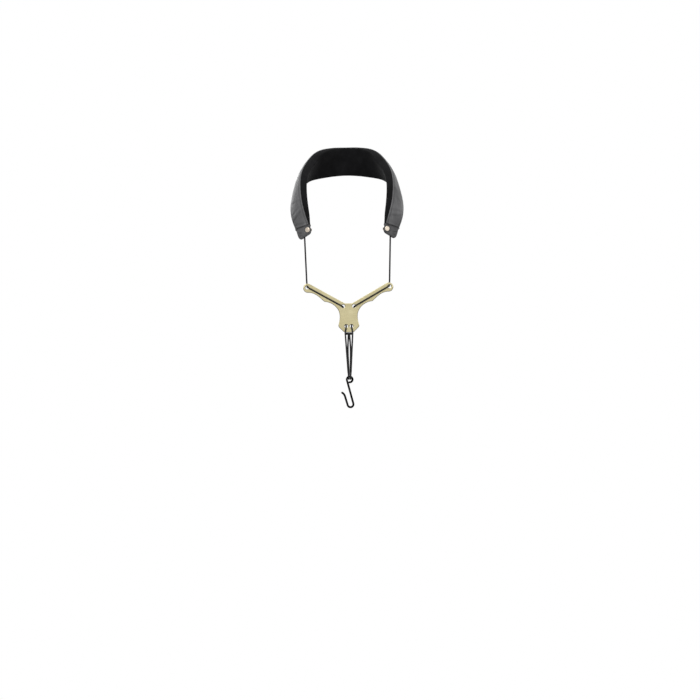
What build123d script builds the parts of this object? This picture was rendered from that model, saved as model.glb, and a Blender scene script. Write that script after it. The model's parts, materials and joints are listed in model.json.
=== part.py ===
"""Saxophone neck strap: a padded neckband, a metal yoke plate and a wire hook on one adjustable cord.

Millimetres, +Z up. The origin is where the band's lining rests on the nape. The wearer faces -Y.
The strap is the same on both sides, so every left sub-part (-X) is mirrored to the right.
"""

from build123d import *
from math import asin, atan2, cos, degrees, pi, radians, sin, sqrt, tan
import os

os.makedirs("parts", exist_ok=True)

# ---- neckband -------------------------------------------------------------------------------
NAPE_WIDTH = 42.0  # between the band's two edges
SIDE_WIDTH = 37.0
LOWER_WIDTH = 32.0  # just above the folded ends
END_WIDTH = 24.0
NAPE_THICKNESS = 14.0  # without the crown
END_THICKNESS = 9.0
CROWN = 2.6  # how far the padding bulges between the seams
LEATHER = 1.6
LINING = 1.2
LAYER_GAP = 0.15  # between the layers, and wherever one soft piece lies on another
BAND_REACH = 104.0  # from the nape forward to the band's ends
BAND_DROP = 102.0  # from the nape down to the band's ends
BAND_HALF_SPAN = 75.0  # from the middle to the band's centre line, at its widest
SEAM_INSET = 2.4  # from the edge of a folded end to its cross seam's first stitch
THREAD_WIDTH = 0.8
THREAD_HEIGHT = 0.5

# ---- folded leather ends and their rivets -----------------------------------------------------
TAB_THICKNESS = 6.5
TAB_LOBE = 17.8  # from the seam to the lowest point
TAB_CORNER = 14.0  # from the seam to the corner beside the rivet
TAB_FILLET = 2.5
TAB_TAPER = 2.4  # how far the lobe stands in from the band's outer edge
TAB_SEAM = 1.0  # from the top of the folded end to its cross seam
RIVET_INSET = 3.0  # from the inner edge to the rivet's middle
RIVET_DOWN = 7.6  # from the seam to the rivet's middle
RIVET_CAP_DIAMETER = 7.8
RIVET_CAP_HEIGHT = 1.5
RIVET_CAP_ROUND = 0.7  # share of the cap's height that its rounded edge takes
RIVET_DISC_DIAMETER = 6.0
RIVET_DISC_HEIGHT = 0.8
RIVET_POST_DIAMETER = 3.0
RIVET_CLEARANCE = 0.1

# ---- cord -------------------------------------------------------------------------------------
CORD_DIAMETER = 2.4
CORD_CLEARANCE = 0.15  # between the cord and what it passes
CORD_END_GAP = 0.3  # between the ends of two stretches of cord
CORD_TURN = 0.45  # share of the shorter run beside a bend that its arc may take
KNOT_DIAMETER = 4.4
KNOT_ABOVE_EXIT = 6.0  # from the cord's exit up to the knot's middle
KNOT_FROM_EDGE = 13.3  # from the inner edge to the cord's exit
UPPER_CORD_DROP = 75.2  # from the cord's exit down to the tip holes
UPPER_CORD_STOP = 9.0  # above the tip hole, where the cord starts to bend round the plate

# ---- yoke plate: heights are measured from the line through the tip holes -----------------------
PLATE_THICKNESS = 2.0
PLATE_TOP = -24.4  # the flat top edge between the arms
PLATE_BOTTOM = -68.0
PLATE_EDGE = 0.35  # chamfer round the whole outline
TIP_X = 61.9
TIP_LOBE_X = 60.7  # middle of the rounded tip, a little inward of its hole and below it
TIP_LOBE_Z = -0.8
TIP_RADIUS = 6.8
FLAT_HALF = 5.4  # half of the flat top edge
KNUCKLE_X = 36.0  # the bump half-way along the arm's lower edge
KNUCKLE_Z = -21.5
KNUCKLE_RADIUS = 2.4
KNUCKLE_OUTER = (3.0, 2.7)  # from the bump to the lower edge's next point outward, in its radii
KNUCKLE_ENTER = (-0.75, -0.66)  # the lower edge's direction where it reaches the bump
KNUCKLE_LEAVE = (-0.99, -0.1)  # and where it leaves it
SHOULDER_X = 19.0
SHOULDER_Z = -29.6
WAIST_HALF = 13.4
WAIST_Z = -44.0
LOBE_HALF = 16.2
LOBE_Z = -58.8
LOBE_RADIUS = 4.5
LOBE_FLARE = 1.5857  # the side's slope at the lobe, against the mean slope from the waist down
FOOT_HALF = 7.0
FOOT_RADIUS = 6.0
HOLE_DIAMETER = 5.0
HOLE_EDGE = 0.55  # chamfer round each hole
UPPER_HOLE_X = 8.0
UPPER_HOLE_Z = -28.7
LOWER_HOLE_X = 3.9
LOWER_HOLE_Z = -58.8

# ---- hitch and strands ------------------------------------------------------------------------
HITCH_DIAMETER = 3.4
HITCH_ROUND = 0.45  # share of the hitch's radius that its rounded ends take
HITCH_DROP = 2.0  # from the plate's bottom edge to the hitch's middle
STRAND_TOP_X = 5.6  # where the outer strands leave the plate
INNER_TOP_X = 1.3
OUTER_LOWER_X = 2.1  # where the outer strands join the turns
EYE_DROP = 70.6  # from the plate's bottom edge to the middle of the hook's eye
BIGHT_LEG = 6.5  # above the hook's wire, where the strands join the turns

# ---- hook: places are measured from the middle of its eye --------------------------------------
HOOK_WIRE = 2.5
COATING = 0.3
EYE_INNER_RADIUS = 2.7
EYE_OVERLAP = 4.0  # degrees past the eye's lowest point, where the wire's end meets the shank
BEND_RADIUS = 4.4
BEND_X = 0.6
BEND_DROP = 37.2
LIMB_LEAN = 16.0  # degrees from upright
LIMB_LENGTH = 13.8
FLARE_RADIUS = 9.5
FLARE_ANGLE = 42.0

coated_wire = HOOK_WIRE + 2 * COATING
cord_radius = CORD_DIAMETER / 2
cord_offset = PLATE_THICKNESS / 2 + cord_radius + CORD_CLEARANCE


# ---- helpers ----------------------------------------------------------------------------------
def finish(builder, label):
    """Names a sub-part and writes it."""
    builder.part.label = label
    export_step(builder.part, f"parts/{label}.step")
    print(f"{label}: {len(builder.part.solids())} solid, {builder.part.volume:.1f} mm3")


def both_sides(left, label):
    """Writes a left sub-part and its mirror image."""
    finish(left, f"left_{label}")
    with BuildPart() as right:
        add(mirror(left.part, about=Plane.YZ, mode=Mode.PRIVATE))
    finish(right, f"right_{label}")


def bend_radius(points, index, largest):
    """The arc at one point of a cord: its share of the shorter run, or the size of what it goes round."""
    before = points[index] - points[index - 1]
    after = points[index + 1] - points[index]
    turn = radians(before.get_angle(after))
    return min(largest, CORD_TURN * min(before.length, after.length) / tan(turn / 2))


def cord_path(points, largest):
    """The radii of a cord's arcs along its points."""
    radii = [bend_radius(points, i, largest) for i in range(1, len(points) - 1)]
    print("  radii", [round(r, 1) for r in radii])
    return radii


# ---- the band's stations ----------------------------------------------------------------------
class Station:
    """One cross-section of the band: its place, its frame and its size."""

    def __init__(self, place, travel, outward, width, thickness):
        self.place = Vector(*place)
        travel = Vector(*travel).normalized()
        outward = Vector(*outward)
        outward = (outward - travel * outward.dot(travel)).normalized()
        self.travel = travel
        self.outward = outward
        self.across = outward.cross(travel)
        self.width = width
        self.thickness = thickness
        self.plane = Plane(origin=self.place, x_dir=self.across, z_dir=travel)

    def mirrored(self):
        flip = lambda v: (-v.X, v.Y, v.Z)
        back = (self.travel.X, -self.travel.Y, -self.travel.Z)
        return Station(flip(self.place), back, flip(self.outward), self.width, self.thickness)


def between(share, start, end):
    return start + (end - start) * share


def band_station(span, reach, drop, travel, outward, width, share):
    """A left station, placed as shares of the band's half span, reach and drop."""
    thickness = between(share, NAPE_THICKNESS, END_THICKNESS)
    nape = NAPE_THICKNESS / 2
    place = (-span * BAND_HALF_SPAN, nape - reach * (BAND_REACH + nape), -drop * BAND_DROP)
    return Station(place, travel, outward, width, thickness)


left_stations = [
    band_station(0.000, 0.000, 0.000, (-1, 0, 0), (0, 1, 0.12), NAPE_WIDTH, 0.0),
    band_station(0.450, 0.075, 0.030, (-0.85, -0.50, -0.15), (-0.5, 0.85, 0.25), NAPE_WIDTH, 0.05),
    band_station(0.750, 0.285, 0.135, (-0.50, -0.76, -0.40), (-0.85, 0.30, 0.50), SIDE_WIDTH, 0.1),
    band_station(0.905, 0.560, 0.315, (-0.24, -0.72, -0.65), (-0.92, 0.0, 0.38), SIDE_WIDTH, 0.36),
    band_station(0.960, 0.790, 0.555, (-0.03, -0.55, -0.83), (-0.90, -0.35, 0.15), SIDE_WIDTH, 0.34),
    band_station(0.940, 0.935, 0.800, (0.12, -0.30, -0.95), (-0.78, -0.62, 0.0), LOWER_WIDTH, 0.45),
    band_station(0.890, 1.000, 1.000, (0.20, -0.18, -0.96), (-0.52, -0.85, 0.0), END_WIDTH, 1.0),
]
stations = [station.mirrored() for station in reversed(left_stations[1:])] + left_stations
band_end = left_stations[-1]


def seat(station):
    """The height of the leather's underside at the band's edges."""
    return station.thickness / 2 - LEATHER


# ---- neckband ---------------------------------------------------------------------------------
with BuildPart() as band_leather:
    for station in stations:
        with BuildSketch(station.plane):
            half = station.width / 2
            low = seat(station) + LAYER_GAP
            top = station.thickness / 2
            with BuildLine():
                ThreePointArc((-half, top), (0, top + CROWN), (half, top))
                Line((half, top), (half, low))
                ThreePointArc((half, low), (0, low + CROWN), (-half, low))
                Line((-half, low), (-half, top))
            make_face()
    loft()
finish(band_leather, "band_leather")

with BuildPart() as band_foam:
    for station in stations:
        with BuildSketch(station.plane):
            half = station.width / 2 - LINING - LAYER_GAP
            low = -station.thickness / 2 + LINING + LAYER_GAP
            top = seat(station) - LAYER_GAP
            with BuildLine():
                ThreePointArc((-half, top), (0, top + CROWN), (half, top))
                Polyline((half, top), (half, low), (-half, low), (-half, top))
            make_face()
    loft()
finish(band_foam, "band_foam")

with BuildPart() as band_lining:
    for station in stations:
        with BuildSketch(station.plane):
            half = station.width / 2
            top = seat(station)
            low = -station.thickness / 2
            with BuildLine():
                Polyline(
                    (-half, top),
                    (-half, low),
                    (half, low),
                    (half, top),
                    (half - LINING, top),
                    (half - LINING, low + LINING),
                    (-half + LINING, low + LINING),
                    (-half + LINING, top),
                    close=True,
                )
            make_face()
    loft()
finish(band_lining, "band_lining")


# ---- folded leather ends ----------------------------------------------------------------------
# In the end's own frame: X runs across the band to its inner edge, Y runs back up the band, and Z
# is the outward direction.
end_frame = Plane(origin=band_end.place, x_dir=band_end.across, z_dir=band_end.outward)
end_half = END_WIDTH / 2
exit_across = end_half - KNOT_FROM_EDGE
slant = (TAB_LOBE - TAB_CORNER) / (END_WIDTH - TAB_TAPER - TAB_FILLET)
exit_down = TAB_CORNER + slant * (end_half - exit_across)
rivet_across = end_half - RIVET_INSET


def on_end(across, down, height=0.0):
    """A point of the end's own frame, in the part's frame."""
    return end_frame.from_local_coords(Vector(across, -down, height))


cord_exit = on_end(exit_across, exit_down)
plate_y = cord_exit.Y - cord_offset
front_y = plate_y - cord_offset
back_y = plate_y + cord_offset
tip_z = cord_exit.Z - UPPER_CORD_DROP
plate_bottom_z = tip_z + PLATE_BOTTOM
at_tip_back = Vector(-TIP_X, back_y, tip_z)
downward = (at_tip_back - cord_exit).normalized()
knot_place = cord_exit - downward * KNOT_ABOVE_EXIT
knot_plane = Plane(knot_place, z_dir=downward)
tab_underside = -TAB_THICKNESS / 2

with BuildPart() as end_tab:
    with BuildSketch(end_frame.offset(tab_underside)):
        with BuildLine():
            Polyline(
                (-end_half, -LAYER_GAP),
                (-end_half + TAB_TAPER / 2, -TAB_LOBE + 2 * TAB_FILLET),
                (-end_half + TAB_TAPER, -TAB_LOBE),
                (-end_half + TAB_TAPER + TAB_FILLET, -TAB_LOBE),
                (end_half, -TAB_CORNER),
                (end_half, -LAYER_GAP),
                close=True,
            )
        make_face()
        fillet(vertices().sort_by(Axis.Y)[:4], TAB_FILLET)
    extrude(amount=TAB_THICKNESS)
    with Locations(end_frame.location * Location((rivet_across, -RIVET_DOWN, TAB_THICKNESS))):
        Hole(RIVET_POST_DIAMETER / 2 + RIVET_CLEARANCE, depth=2 * TAB_THICKNESS)
    with Locations(knot_place):
        Sphere(KNOT_DIAMETER / 2 + CORD_CLEARANCE, mode=Mode.SUBTRACT)
    with BuildSketch(knot_plane):
        Circle(cord_radius + CORD_CLEARANCE)
    extrude(amount=2 * KNOT_ABOVE_EXIT, mode=Mode.SUBTRACT)
both_sides(end_tab, "end_tab")

with BuildPart() as end_stitch:
    with Locations(end_frame.location * Location((0, -TAB_SEAM, TAB_THICKNESS / 2 + LAYER_GAP))):
        Box(
            END_WIDTH - 2 * SEAM_INSET,
            THREAD_WIDTH,
            THREAD_HEIGHT,
            align=(Align.CENTER, Align.CENTER, Align.MIN),
        )
both_sides(end_stitch, "end_stitch")

rivet_seat = TAB_THICKNESS / 2 + RIVET_CLEARANCE
rivet_place = end_frame.location * Location((rivet_across, -RIVET_DOWN, 0))
rivet_plane = Plane(rivet_place)
post_top = rivet_seat + RIVET_CAP_HEIGHT / 2
outward_axis = Axis(rivet_plane.origin, rivet_plane.z_dir)
with BuildPart() as rivet_cap:
    with BuildSketch(rivet_plane.offset(rivet_seat)):
        Circle(RIVET_CAP_DIAMETER / 2)
    extrude(amount=RIVET_CAP_HEIGHT)
    fillet(edges().filter_by(GeomType.CIRCLE).sort_by(outward_axis)[-1], RIVET_CAP_HEIGHT * RIVET_CAP_ROUND)
    with BuildSketch(rivet_plane.offset(rivet_seat)):
        Circle(RIVET_POST_DIAMETER / 2 + RIVET_CLEARANCE)
    extrude(amount=RIVET_CAP_HEIGHT / 2 + RIVET_CLEARANCE, mode=Mode.SUBTRACT)
both_sides(rivet_cap, "rivet_cap")

with BuildPart() as rivet_post:
    with BuildSketch(rivet_plane.offset(-rivet_seat - RIVET_DISC_HEIGHT)):
        Circle(RIVET_DISC_DIAMETER / 2)
    extrude(amount=RIVET_DISC_HEIGHT)
    with BuildSketch(rivet_plane.offset(-rivet_seat)):
        Circle(RIVET_POST_DIAMETER / 2)
    extrude(amount=rivet_seat + post_top)
both_sides(rivet_post, "rivet_post")

with BuildPart() as cord_knot:
    with Locations(knot_place):
        Sphere(KNOT_DIAMETER / 2)
    with BuildSketch(knot_plane):
        Circle(cord_radius)
    extrude(amount=KNOT_ABOVE_EXIT)
both_sides(cord_knot, "cord_knot")


# ---- yoke plate -------------------------------------------------------------------------------
# The outline is drawn in the frontal plane, right half first, and mirrored. Its zero height is the
# line through the tip holes.
arm_run = Vector(TIP_LOBE_X - FLAT_HALF, TIP_LOBE_Z - PLATE_TOP)
arm_lean = atan2(arm_run.Y, arm_run.X) + asin(TIP_RADIUS / arm_run.length)
tip_top = (TIP_LOBE_X - TIP_RADIUS * sin(arm_lean), TIP_LOBE_Z + TIP_RADIUS * cos(arm_lean))
tip_bottom = (TIP_LOBE_X, TIP_LOBE_Z - TIP_RADIUS)
knuckle_outer = (
    KNUCKLE_X + KNUCKLE_OUTER[0] * KNUCKLE_RADIUS,
    KNUCKLE_Z + KNUCKLE_OUTER[1] * KNUCKLE_RADIUS,
)
plate_plane = Plane(origin=(0, plate_y, tip_z), x_dir=(1, 0, 0), z_dir=(0, -1, 0))
hole_places = [(TIP_X, 0), (UPPER_HOLE_X, UPPER_HOLE_Z), (LOWER_HOLE_X, LOWER_HOLE_Z)]


def is_lobe_corner(vertex):
    return abs(abs(vertex.X) - LOBE_HALF) < 0.01


def is_foot_corner(vertex):
    return abs(abs(vertex.X) - FOOT_HALF) < 0.01 and abs(vertex.Y - PLATE_BOTTOM) < 0.01


with BuildPart() as yoke_plate:
    with BuildSketch(plate_plane.offset(-PLATE_THICKNESS / 2)):
        with BuildLine():
            Polyline((0, PLATE_TOP), (FLAT_HALF, PLATE_TOP), tip_top)
            ThreePointArc(tip_top, (TIP_LOBE_X + TIP_RADIUS, TIP_LOBE_Z), tip_bottom)
            Spline(
                tip_bottom,
                knuckle_outer,
                (KNUCKLE_X, KNUCKLE_Z),
                tangents=[(-1, 0), KNUCKLE_ENTER],
            )
            Spline(
                (KNUCKLE_X, KNUCKLE_Z),
                (SHOULDER_X, SHOULDER_Z),
                (WAIST_HALF, WAIST_Z),
                tangents=[KNUCKLE_LEAVE, (0, -1)],
            )
            Spline(
                (WAIST_HALF, WAIST_Z),
                (LOBE_HALF, LOBE_Z),
                tangents=[(0, -1), (LOBE_FLARE * (LOBE_HALF - WAIST_HALF), LOBE_Z - WAIST_Z)],
            )
            Polyline((LOBE_HALF, LOBE_Z), (FOOT_HALF, PLATE_BOTTOM), (0, PLATE_BOTTOM))
            mirror(about=Plane.YZ)
        make_face()
        fillet(vertices().filter_by(is_lobe_corner), LOBE_RADIUS)
        fillet(vertices().filter_by(is_foot_corner), FOOT_RADIUS)
        with Locations(*hole_places, *[(-x, z) for x, z in hole_places]):
            Circle(HOLE_DIAMETER / 2, mode=Mode.SUBTRACT)
    extrude(amount=PLATE_THICKNESS)
    hole_rims = edges().filter_by(GeomType.CIRCLE).filter_by(
        lambda rim: abs(rim.radius - HOLE_DIAMETER / 2) < 0.001 and rim.is_closed
    )
    chamfer(hole_rims, HOLE_EDGE)
    outer_rims = [
        face.outer_wire().edges() for face in faces().filter_by(Axis.Y).sort_by(SortBy.AREA)[-2:]
    ]
    chamfer(outer_rims[0] + outer_rims[1], PLATE_EDGE)
finish(yoke_plate, "yoke_plate")


# ---- cord -------------------------------------------------------------------------------------
cord_bend = at_tip_back - downward * UPPER_CORD_STOP
upper_start = cord_exit + downward * CORD_END_GAP
upper_end = cord_bend - downward * CORD_END_GAP

with BuildPart() as upper_cord:
    with BuildLine() as upper_line:
        Line(upper_start, upper_end)
    with BuildSketch(Plane(upper_start, z_dir=downward)):
        Circle(cord_radius)
    sweep(path=upper_line.line)
both_sides(upper_cord, "upper_cord")

arm_places = [
    (TIP_X, 0, front_y),
    (UPPER_HOLE_X, UPPER_HOLE_Z, front_y),
    (UPPER_HOLE_X, UPPER_HOLE_Z, back_y),
    (LOWER_HOLE_X, LOWER_HOLE_Z, back_y),
    (LOWER_HOLE_X, LOWER_HOLE_Z, front_y),
    (STRAND_TOP_X, PLATE_BOTTOM - CORD_CLEARANCE, front_y),
]
arm_points = [cord_bend, at_tip_back] + [Vector(-x, y, tip_z + z) for x, z, y in arm_places]
print("arm cord")
arm_radii = cord_path(arm_points, cord_offset)
with BuildPart() as arm_cord:
    with BuildLine() as arm_line:
        FilletPolyline(*arm_points, radius=arm_radii)
    with BuildSketch(Plane(arm_points[0], z_dir=downward)):
        Circle(cord_radius)
    sweep(path=arm_line.line)
both_sides(arm_cord, "arm_cord")
print(f"  section x length: {pi * cord_radius**2 * arm_line.wire().length:.1f} mm3")

# The hitch is the cord's binding turn, and the strands hang from it.
hitch_z = plate_bottom_z - HITCH_DROP
hitch_half = STRAND_TOP_X - cord_radius - 2 * CORD_CLEARANCE
hitch_radius = HITCH_DIAMETER / 2
with BuildPart() as cord_hitch:
    with Locations((0, plate_y, hitch_z)):
        Cylinder(hitch_radius, 2 * hitch_half, rotation=(0, 90, 0))
    fillet(edges().filter_by(GeomType.CIRCLE), hitch_radius * HITCH_ROUND)
finish(cord_hitch, "cord_hitch")

eye_radius = EYE_INNER_RADIUS + coated_wire / 2
eye_z = plate_bottom_z - EYE_DROP
wire_top_z = eye_z + eye_radius
pair_x = cord_radius + CORD_CLEARANCE / 4
reach = EYE_INNER_RADIUS - cord_radius - CORD_CLEARANCE
bight_radius = eye_radius - sqrt(reach**2 - pair_x**2)
bight_top_z = wire_top_z + BIGHT_LEG

outer_top = Vector(-STRAND_TOP_X, front_y, plate_bottom_z - CORD_CLEARANCE - CORD_END_GAP)
inner_top = Vector(-INNER_TOP_X, plate_y + hitch_radius - cord_radius, hitch_z - hitch_radius)
front_leg = Vector(-OUTER_LOWER_X, plate_y - bight_radius, bight_top_z)
back_leg = Vector(-pair_x, plate_y + bight_radius, bight_top_z)
leg_gap = Vector(0, 0, CORD_END_GAP)
strand_ends = {
    "outer_strand": (outer_top, front_leg + leg_gap),
    "inner_strand": (inner_top - leg_gap, back_leg + leg_gap),
}
for label, (start, end) in strand_ends.items():
    with BuildPart() as strand:
        with BuildLine() as strand_line:
            Line(start, end)
        with BuildSketch(Plane(start, z_dir=end - start)):
            Circle(cord_radius)
        sweep(path=strand_line.line)
    both_sides(strand, label)

front_low = Vector(-pair_x, plate_y - bight_radius, wire_top_z)
back_low = Vector(-pair_x, plate_y + bight_radius, wire_top_z)
bight_lowest = Vector(-pair_x, plate_y, wire_top_z - bight_radius)
outer_slant = (front_leg - outer_top).normalized()
with BuildPart() as cord_bight:
    with BuildLine() as bight_line:
        Spline(front_leg, front_low, tangents=(outer_slant, (0, 0, -1)))
        ThreePointArc(front_low, bight_lowest, back_low)
        Line(back_low, back_leg)
    with BuildSketch(Plane(front_leg, z_dir=outer_slant)):
        Circle(cord_radius)
    sweep(path=bight_line.wire())
both_sides(cord_bight, "cord_bight")

# ---- hook -------------------------------------------------------------------------------------
# The wire lies in the plate's plane. It starts under the eye, goes round it to the left, runs down
# the shank, which is tangent to the eye and to the bend, and ends in a flared limb.
def round_point(centre, radius, angle):
    """A point of a circle in the hook's plane, from its angle in degrees."""
    return (centre[0] + radius * cos(radians(angle)), centre[1] + radius * sin(radians(angle)))


eye = (0, 0)
bend = (BEND_X, -BEND_DROP)
reach_down = Vector(BEND_X, -BEND_DROP)
shank_turn = asin((eye_radius + BEND_RADIUS) / reach_down.length)
shank_angle = degrees(atan2(reach_down.Y, reach_down.X) + shank_turn)
limb_angle = 90 + LIMB_LEAN
eye_begin = round_point(eye, eye_radius, -90 - EYE_OVERLAP)
eye_right = round_point(eye, eye_radius, 45)
eye_leave = round_point(eye, eye_radius, shank_angle - 90)
bend_enter = round_point(bend, BEND_RADIUS, shank_angle + 90)
bend_low = round_point(bend, BEND_RADIUS, -90)
bend_leave = round_point(bend, BEND_RADIUS, limb_angle + 90)
limb_end = round_point(bend_leave, LIMB_LENGTH, limb_angle)
flare = round_point(limb_end, FLARE_RADIUS, limb_angle + 90)
flare_middle = round_point(flare, FLARE_RADIUS, limb_angle - 90 + FLARE_ANGLE / 2)
hook_tip = round_point(flare, FLARE_RADIUS, limb_angle - 90 + FLARE_ANGLE)
hook_plane = Plane(origin=(0, plate_y, eye_z), x_dir=(1, 0, 0), z_dir=(0, -1, 0))

with BuildLine(hook_plane) as hook_line:
    ThreePointArc(eye_begin, eye_right, eye_leave)
    Line(eye_leave, bend_enter)
    ThreePointArc(bend_enter, bend_low, bend_leave)
    Line(bend_leave, limb_end)
    ThreePointArc(limb_end, flare_middle, hook_tip)

hook_path = hook_line.wire()
core_inset = coated_wire / 2 / hook_path.length  # the coating closes over both ends of the wire
core_path = hook_path.trim(core_inset, 1 - core_inset)

with BuildPart() as hook_wire:
    with BuildSketch(Plane(core_path @ 0, z_dir=core_path % 0)):
        Circle(HOOK_WIRE / 2)
    sweep(path=core_path)
finish(hook_wire, "hook_wire")

with BuildPart() as hook_coating:
    with BuildSketch(Plane(hook_path @ 0, z_dir=hook_path % 0)):
        Circle(coated_wire / 2)
    sweep(path=hook_path)
    add(hook_wire.part, mode=Mode.SUBTRACT)
    with Locations(hook_path @ 0, hook_path @ 1):
        Sphere(coated_wire / 2)
finish(hook_coating, "hook_coating")
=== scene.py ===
"""Saxophone neck strap: soft goods, braided cord, finishes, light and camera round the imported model.

Metres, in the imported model's frame: the band rests on the nape at the origin, and the wearer faces -Y.
"""

import json
import math

import bmesh
import bpy
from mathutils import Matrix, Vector, noise


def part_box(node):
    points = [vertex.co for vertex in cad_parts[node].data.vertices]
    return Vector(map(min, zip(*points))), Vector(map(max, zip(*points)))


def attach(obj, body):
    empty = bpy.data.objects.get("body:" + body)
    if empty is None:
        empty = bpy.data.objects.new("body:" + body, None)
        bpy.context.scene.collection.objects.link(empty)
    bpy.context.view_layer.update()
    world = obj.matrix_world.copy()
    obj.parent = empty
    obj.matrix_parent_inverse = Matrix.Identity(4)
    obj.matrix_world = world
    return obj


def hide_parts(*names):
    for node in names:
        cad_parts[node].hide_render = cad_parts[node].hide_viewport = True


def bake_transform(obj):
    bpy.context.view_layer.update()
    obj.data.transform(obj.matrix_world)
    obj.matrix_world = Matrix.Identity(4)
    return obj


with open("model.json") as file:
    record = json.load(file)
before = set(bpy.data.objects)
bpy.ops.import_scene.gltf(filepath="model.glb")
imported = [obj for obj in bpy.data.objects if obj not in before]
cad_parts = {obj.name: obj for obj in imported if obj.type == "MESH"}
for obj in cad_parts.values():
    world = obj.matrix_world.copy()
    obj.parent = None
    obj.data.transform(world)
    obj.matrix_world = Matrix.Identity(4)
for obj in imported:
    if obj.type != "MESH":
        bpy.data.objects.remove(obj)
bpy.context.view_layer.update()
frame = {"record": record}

MM = 0.001
SIDES = {"left": -1, "right": 1}

# ---- places taken from the model ----
plate_low, plate_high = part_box("yoke_plate")
joints = {joint["name"]: joint for joint in frame["record"]["behaviour"]["joints"]}
PLATE_Y = (plate_low[1] + plate_high[1]) / 2
PLATE_BOTTOM = plate_low[2]
TIP_DROP = 68.0 * MM  # from the line through the tip holes down to the plate's bottom edge
TIP_Z = PLATE_BOTTOM + TIP_DROP
CORD_EXIT_Z = joints["cord_sway"]["pos_m"][2]
HITCH_Z = joints["loop_swing"]["pos_m"][2]
WIRE_TOP_Z = joints["hook_tilt"]["pos_m"][2]

# ---- cord ----
CORD_RADIUS = 1.2 * MM
BRAID_STRANDS = 6  # in each direction
BRAID_PITCH = 2.3 * MM
CORD_OFFSET = 2.35 * MM  # from the plate's mid-plane to the cord's middle
FRONT_Y = PLATE_Y - CORD_OFFSET
BACK_Y = PLATE_Y + CORD_OFFSET
EXIT_X = 64.48 * MM
TIP_X = 61.9 * MM
STRAND_TOP_X = 5.6 * MM
OUTER_LOWER_X = 2.1 * MM  # where the outer strands join the turns
PAIR_X = 1.2375 * MM  # each of the two turns through the eye stands this far from the middle
BIGHT_RADIUS = 3.71 * MM
BIGHT_LEG = 6.5 * MM  # above the hook's wire, where the strands join the turns
BIGHT_TOP_Z = WIRE_TOP_Z + BIGHT_LEG
TIP_LEAN = 0.27 * MM  # how far the cord stands out of the tip hole's middle where it starts to bend
HITCH_HALF = 3.5 * MM
HITCH_DEPTH = 0.95 * MM  # from the plate's mid-plane to the middle of a binding turn
HITCH_TURN_RADIUS = 0.95 * MM
HITCH_TURNS = (0.74 * MM, -0.74 * MM)  # heights of the two turns

# ---- band ----
NAPE_WIDTH = 42.0 * MM
SIDE_WIDTH = 37.0 * MM
LOWER_WIDTH = 32.0 * MM
END_WIDTH = 24.0 * MM
NAPE_THICKNESS = 14.0 * MM
END_THICKNESS = 9.0 * MM
BAND_REACH = 104.0 * MM
BAND_DROP = 102.0 * MM
BAND_HALF_SPAN = 75.0 * MM
BAND_STATIONS = [  # the left half: shares of half span, reach and drop, travel, outward, width, thinning
    (0.000, 0.000, 0.000, (-1, 0, 0), (0, 1, 0.12), NAPE_WIDTH, 0.0),
    (0.450, 0.075, 0.030, (-0.85, -0.50, -0.15), (-0.5, 0.85, 0.25), NAPE_WIDTH, 0.05),
    (0.750, 0.285, 0.135, (-0.50, -0.76, -0.40), (-0.85, 0.30, 0.50), SIDE_WIDTH, 0.1),
    (0.905, 0.560, 0.315, (-0.24, -0.72, -0.65), (-0.92, 0.0, 0.38), SIDE_WIDTH, 0.36),
    (0.960, 0.790, 0.555, (-0.03, -0.55, -0.83), (-0.90, -0.35, 0.15), SIDE_WIDTH, 0.34),
    (0.940, 0.935, 0.800, (0.12, -0.30, -0.95), (-0.78, -0.62, 0.0), LOWER_WIDTH, 0.45),
    (0.890, 1.000, 1.000, (0.20, -0.18, -0.96), (-0.52, -0.85, 0.0), END_WIDTH, 1.0),
]
CROWN = 2.6 * MM
LEATHER = 1.6 * MM
SEAM_INSET = 2.6 * MM
SECTION_STEP = 1.1 * MM
LEATHER_POINTS = 46  # across the leather's outer face
LINING_EDGE_POINTS = 9  # down each edge of the lining
SKIN_POINTS = 16  # across the lining's skin side
LINING_BULGE = 0.75 * MM  # of the lining's edges past the leather's
SKIN_INSET = 2.2 * MM  # from the band's edges to the flat of the skin side
CUSHION = 0.45 * MM  # how far the skin side bulges in its middle
ROLL_START = 0.93  # share of the half width where the leather starts to roll under
ROLL_SPAN = 0.07
ROLL_DEPTH = 1.1 * MM
ROLLED_AT = 0.94  # share of the half width at which the leather meets the lining
GROOVE_DEPTH = 0.55 * MM  # the dent along each seam
GROOVE_WIDTH = 1.1 * MM
PUCKER_DEPTH = 0.12 * MM  # the small waves beside each seam
PUCKER_TURN = 1.9  # of those waves, from one section to the next
PUCKER_WIDTH = 1.6 * MM
LEATHER_WAVE = 0.3 * MM
END_PULL = 0.92  # how far the padding is drawn in at the folded ends
END_PULL_REACH = 8.5 * MM
END_STEP = 0.3 * MM  # from the folded end's faces to the band's
END_CROWN = 0.9 * MM  # how much higher the leather's middle stands there
LINING_LIFT = 0.3 * MM  # how far the rolled leather's height is raised before its thickness comes off
CREASES = [  # above the folded end, depth, slant across the band
    (3.8 * MM, 0.4 * MM, 0.08),
    (15.5 * MM, 0.95 * MM, -0.36),
    (23.0 * MM, 0.5 * MM, -0.22),
    (38.0 * MM, 0.35 * MM, 0.26),
    (61.0 * MM, 0.22 * MM, -0.18),
]
CREASE_WIDTH = 1.6 * MM
CREASE_REACH = 11.0 * MM  # to both sides of where a crease is deepest
CREASE_MIDDLE = 3.0 * MM  # from the band's middle line to where a crease is deepest
CREASE_FLOOR = 0.35  # share of its depth that a crease keeps far from there
FAINT_SIDE = 0.5  # depth of the creases on the +X side, against the other side
RIDGE_SHARE = 0.45  # height of the ridge above a crease, against the crease's depth
RIDGE_ABOVE = 3.8 * MM
RIDGE_WIDTH = 2.4 * MM
SHADED_DEPTH = 0.9 * MM  # a crease of this depth has its full shade

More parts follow.
